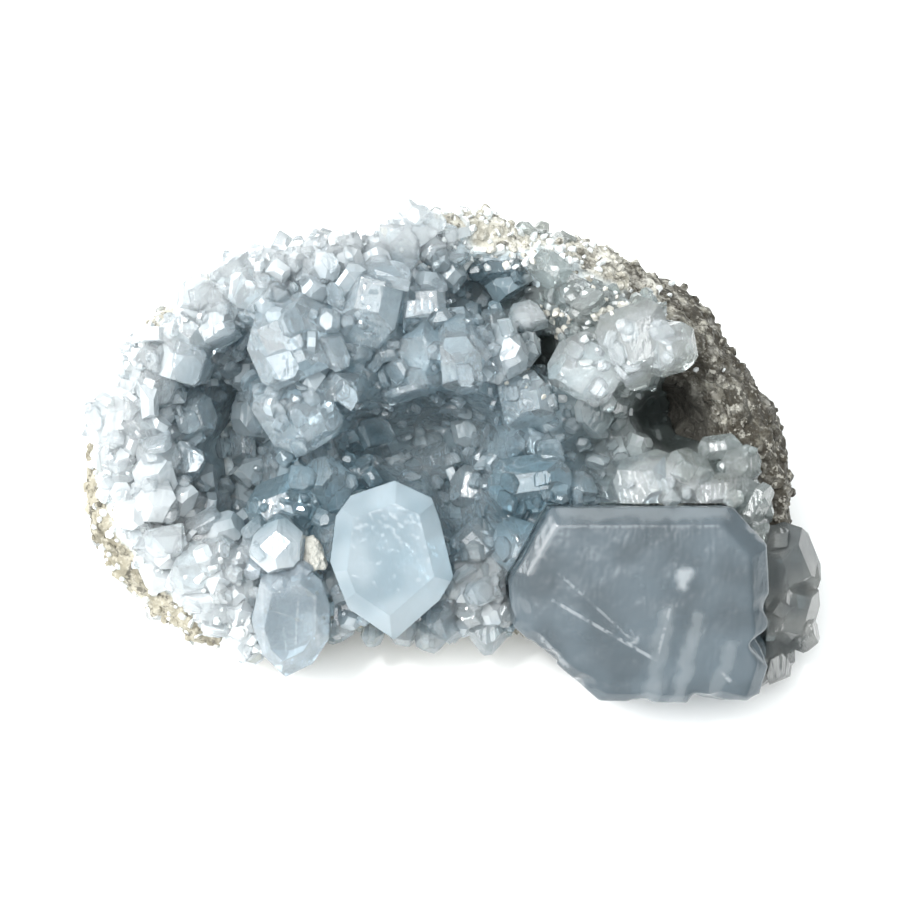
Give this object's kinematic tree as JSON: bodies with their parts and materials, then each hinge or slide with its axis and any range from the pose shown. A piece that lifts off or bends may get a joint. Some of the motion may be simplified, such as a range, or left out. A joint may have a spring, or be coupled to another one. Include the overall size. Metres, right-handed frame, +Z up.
{
  "type": "celestite geode",
  "caption": "Broken piece of a limestone nodule, resting on a flat spot, its leaning hollow face crusted with clear blue celestite crystals.",
  "frame": {"origin": "on the surface that the geode rests on, under the middle of its footprint", "axes": "+Z up, +X to the right as the crystals are looked at, +Y towards the back; the open face leans back, looking up and towards -Y"},
  "size_m": [0.093, 0.0616, 0.0438],
  "materials": {
    "rind": "matte grainy limestone",
    "crust": "clear to milky pale blue celestite",
    "large_tabular_crystal": "clear grey-blue celestite, frosted faces",
    "pointed_crystal": "clear pale blue celestite",
    "corner_crystal": "clear blue celestite",
    "smoky_cluster": "smoky grey celestite"
  },
  "bodies": {
    "root": {"rind": "rind", "crust": "crust", "large_tabular_crystal": "large_tabular_crystal", "pointed_crystal": "pointed_crystal", "corner_crystal": "corner_crystal", "smoky_cluster": "smoky_cluster"}
  },
  "joints": []
}
